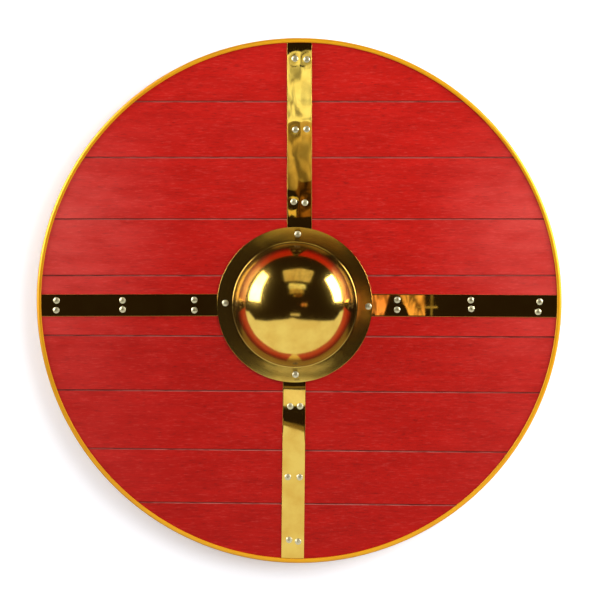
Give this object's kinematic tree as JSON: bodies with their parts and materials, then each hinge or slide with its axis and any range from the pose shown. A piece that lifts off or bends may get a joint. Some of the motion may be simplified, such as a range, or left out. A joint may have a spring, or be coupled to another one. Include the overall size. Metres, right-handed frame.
{
  "type": "round shield",
  "caption": "Flat round shield of red painted planks with a domed brass boss over the hand hole, four riveted brass straps, a yellow edge trim and a wooden grip bar behind.",
  "frame": {"origin": "under the middle of the disc, in the plane of the grip's flat underside, which the shield rests on", "axes": "+Z out of the shield's front, through the boss; +Y to the top of the shield, along the grip; +X to the right as seen from the front, along the planks"},
  "size_m": [0.61, 0.61, 0.0812],
  "materials": {
    "red_planks": "red paint with a low sheen over planed softwood",
    "yellow_trim": "glossy golden yellow",
    "polished_brass": "mirror polished",
    "rivet_aluminium": "plain satin",
    "grip_wood": "bare, planed and oiled"
  },
  "bodies": {
    "root": {"plank_1": "red_planks", "plank_2": "red_planks", "plank_3": "red_planks", "plank_4": "red_planks", "plank_5_left": "red_planks", "plank_5_right": "red_planks", "plank_6": "red_planks", "plank_7": "red_planks", "plank_8": "red_planks", "plank_9": "red_planks", "edge_trim": "yellow_trim", "boss": "polished_brass", "strap_right": "polished_brass", "strap_top": "polished_brass", "strap_left": "polished_brass", "strap_bottom": "polished_brass", "rivet_boss_right": "rivet_aluminium", "rivet_right_inner_1": "rivet_aluminium", "rivet_right_inner_2": "rivet_aluminium", "rivet_right_middle_1": "rivet_aluminium", "rivet_right_middle_2": "rivet_aluminium", "rivet_right_outer_1": "rivet_aluminium", "rivet_right_outer_2": "rivet_aluminium", "rivet_boss_top": "rivet_aluminium", "rivet_top_inner_1": "rivet_aluminium", "rivet_top_inner_2": "rivet_aluminium", "rivet_top_middle_1": "rivet_aluminium", "rivet_top_middle_2": "rivet_aluminium", "rivet_top_outer_1": "rivet_aluminium", "rivet_top_outer_2": "rivet_aluminium", "rivet_boss_left": "rivet_aluminium", "rivet_left_inner_1": "rivet_aluminium", "rivet_left_inner_2": "rivet_aluminium", "rivet_left_middle_1": "rivet_aluminium", "rivet_left_middle_2": "rivet_aluminium", "rivet_left_outer_1": "rivet_aluminium", "rivet_left_outer_2": "rivet_aluminium", "rivet_boss_bottom": "rivet_aluminium", "rivet_bottom_inner_1": "rivet_aluminium", "rivet_bottom_inner_2": "rivet_aluminium", "rivet_bottom_middle_1": "rivet_aluminium", "rivet_bottom_middle_2": "rivet_aluminium", "rivet_bottom_outer_1": "rivet_aluminium", "rivet_bottom_outer_2": "rivet_aluminium", "grip": "grip_wood"}
  },
  "joints": []
}
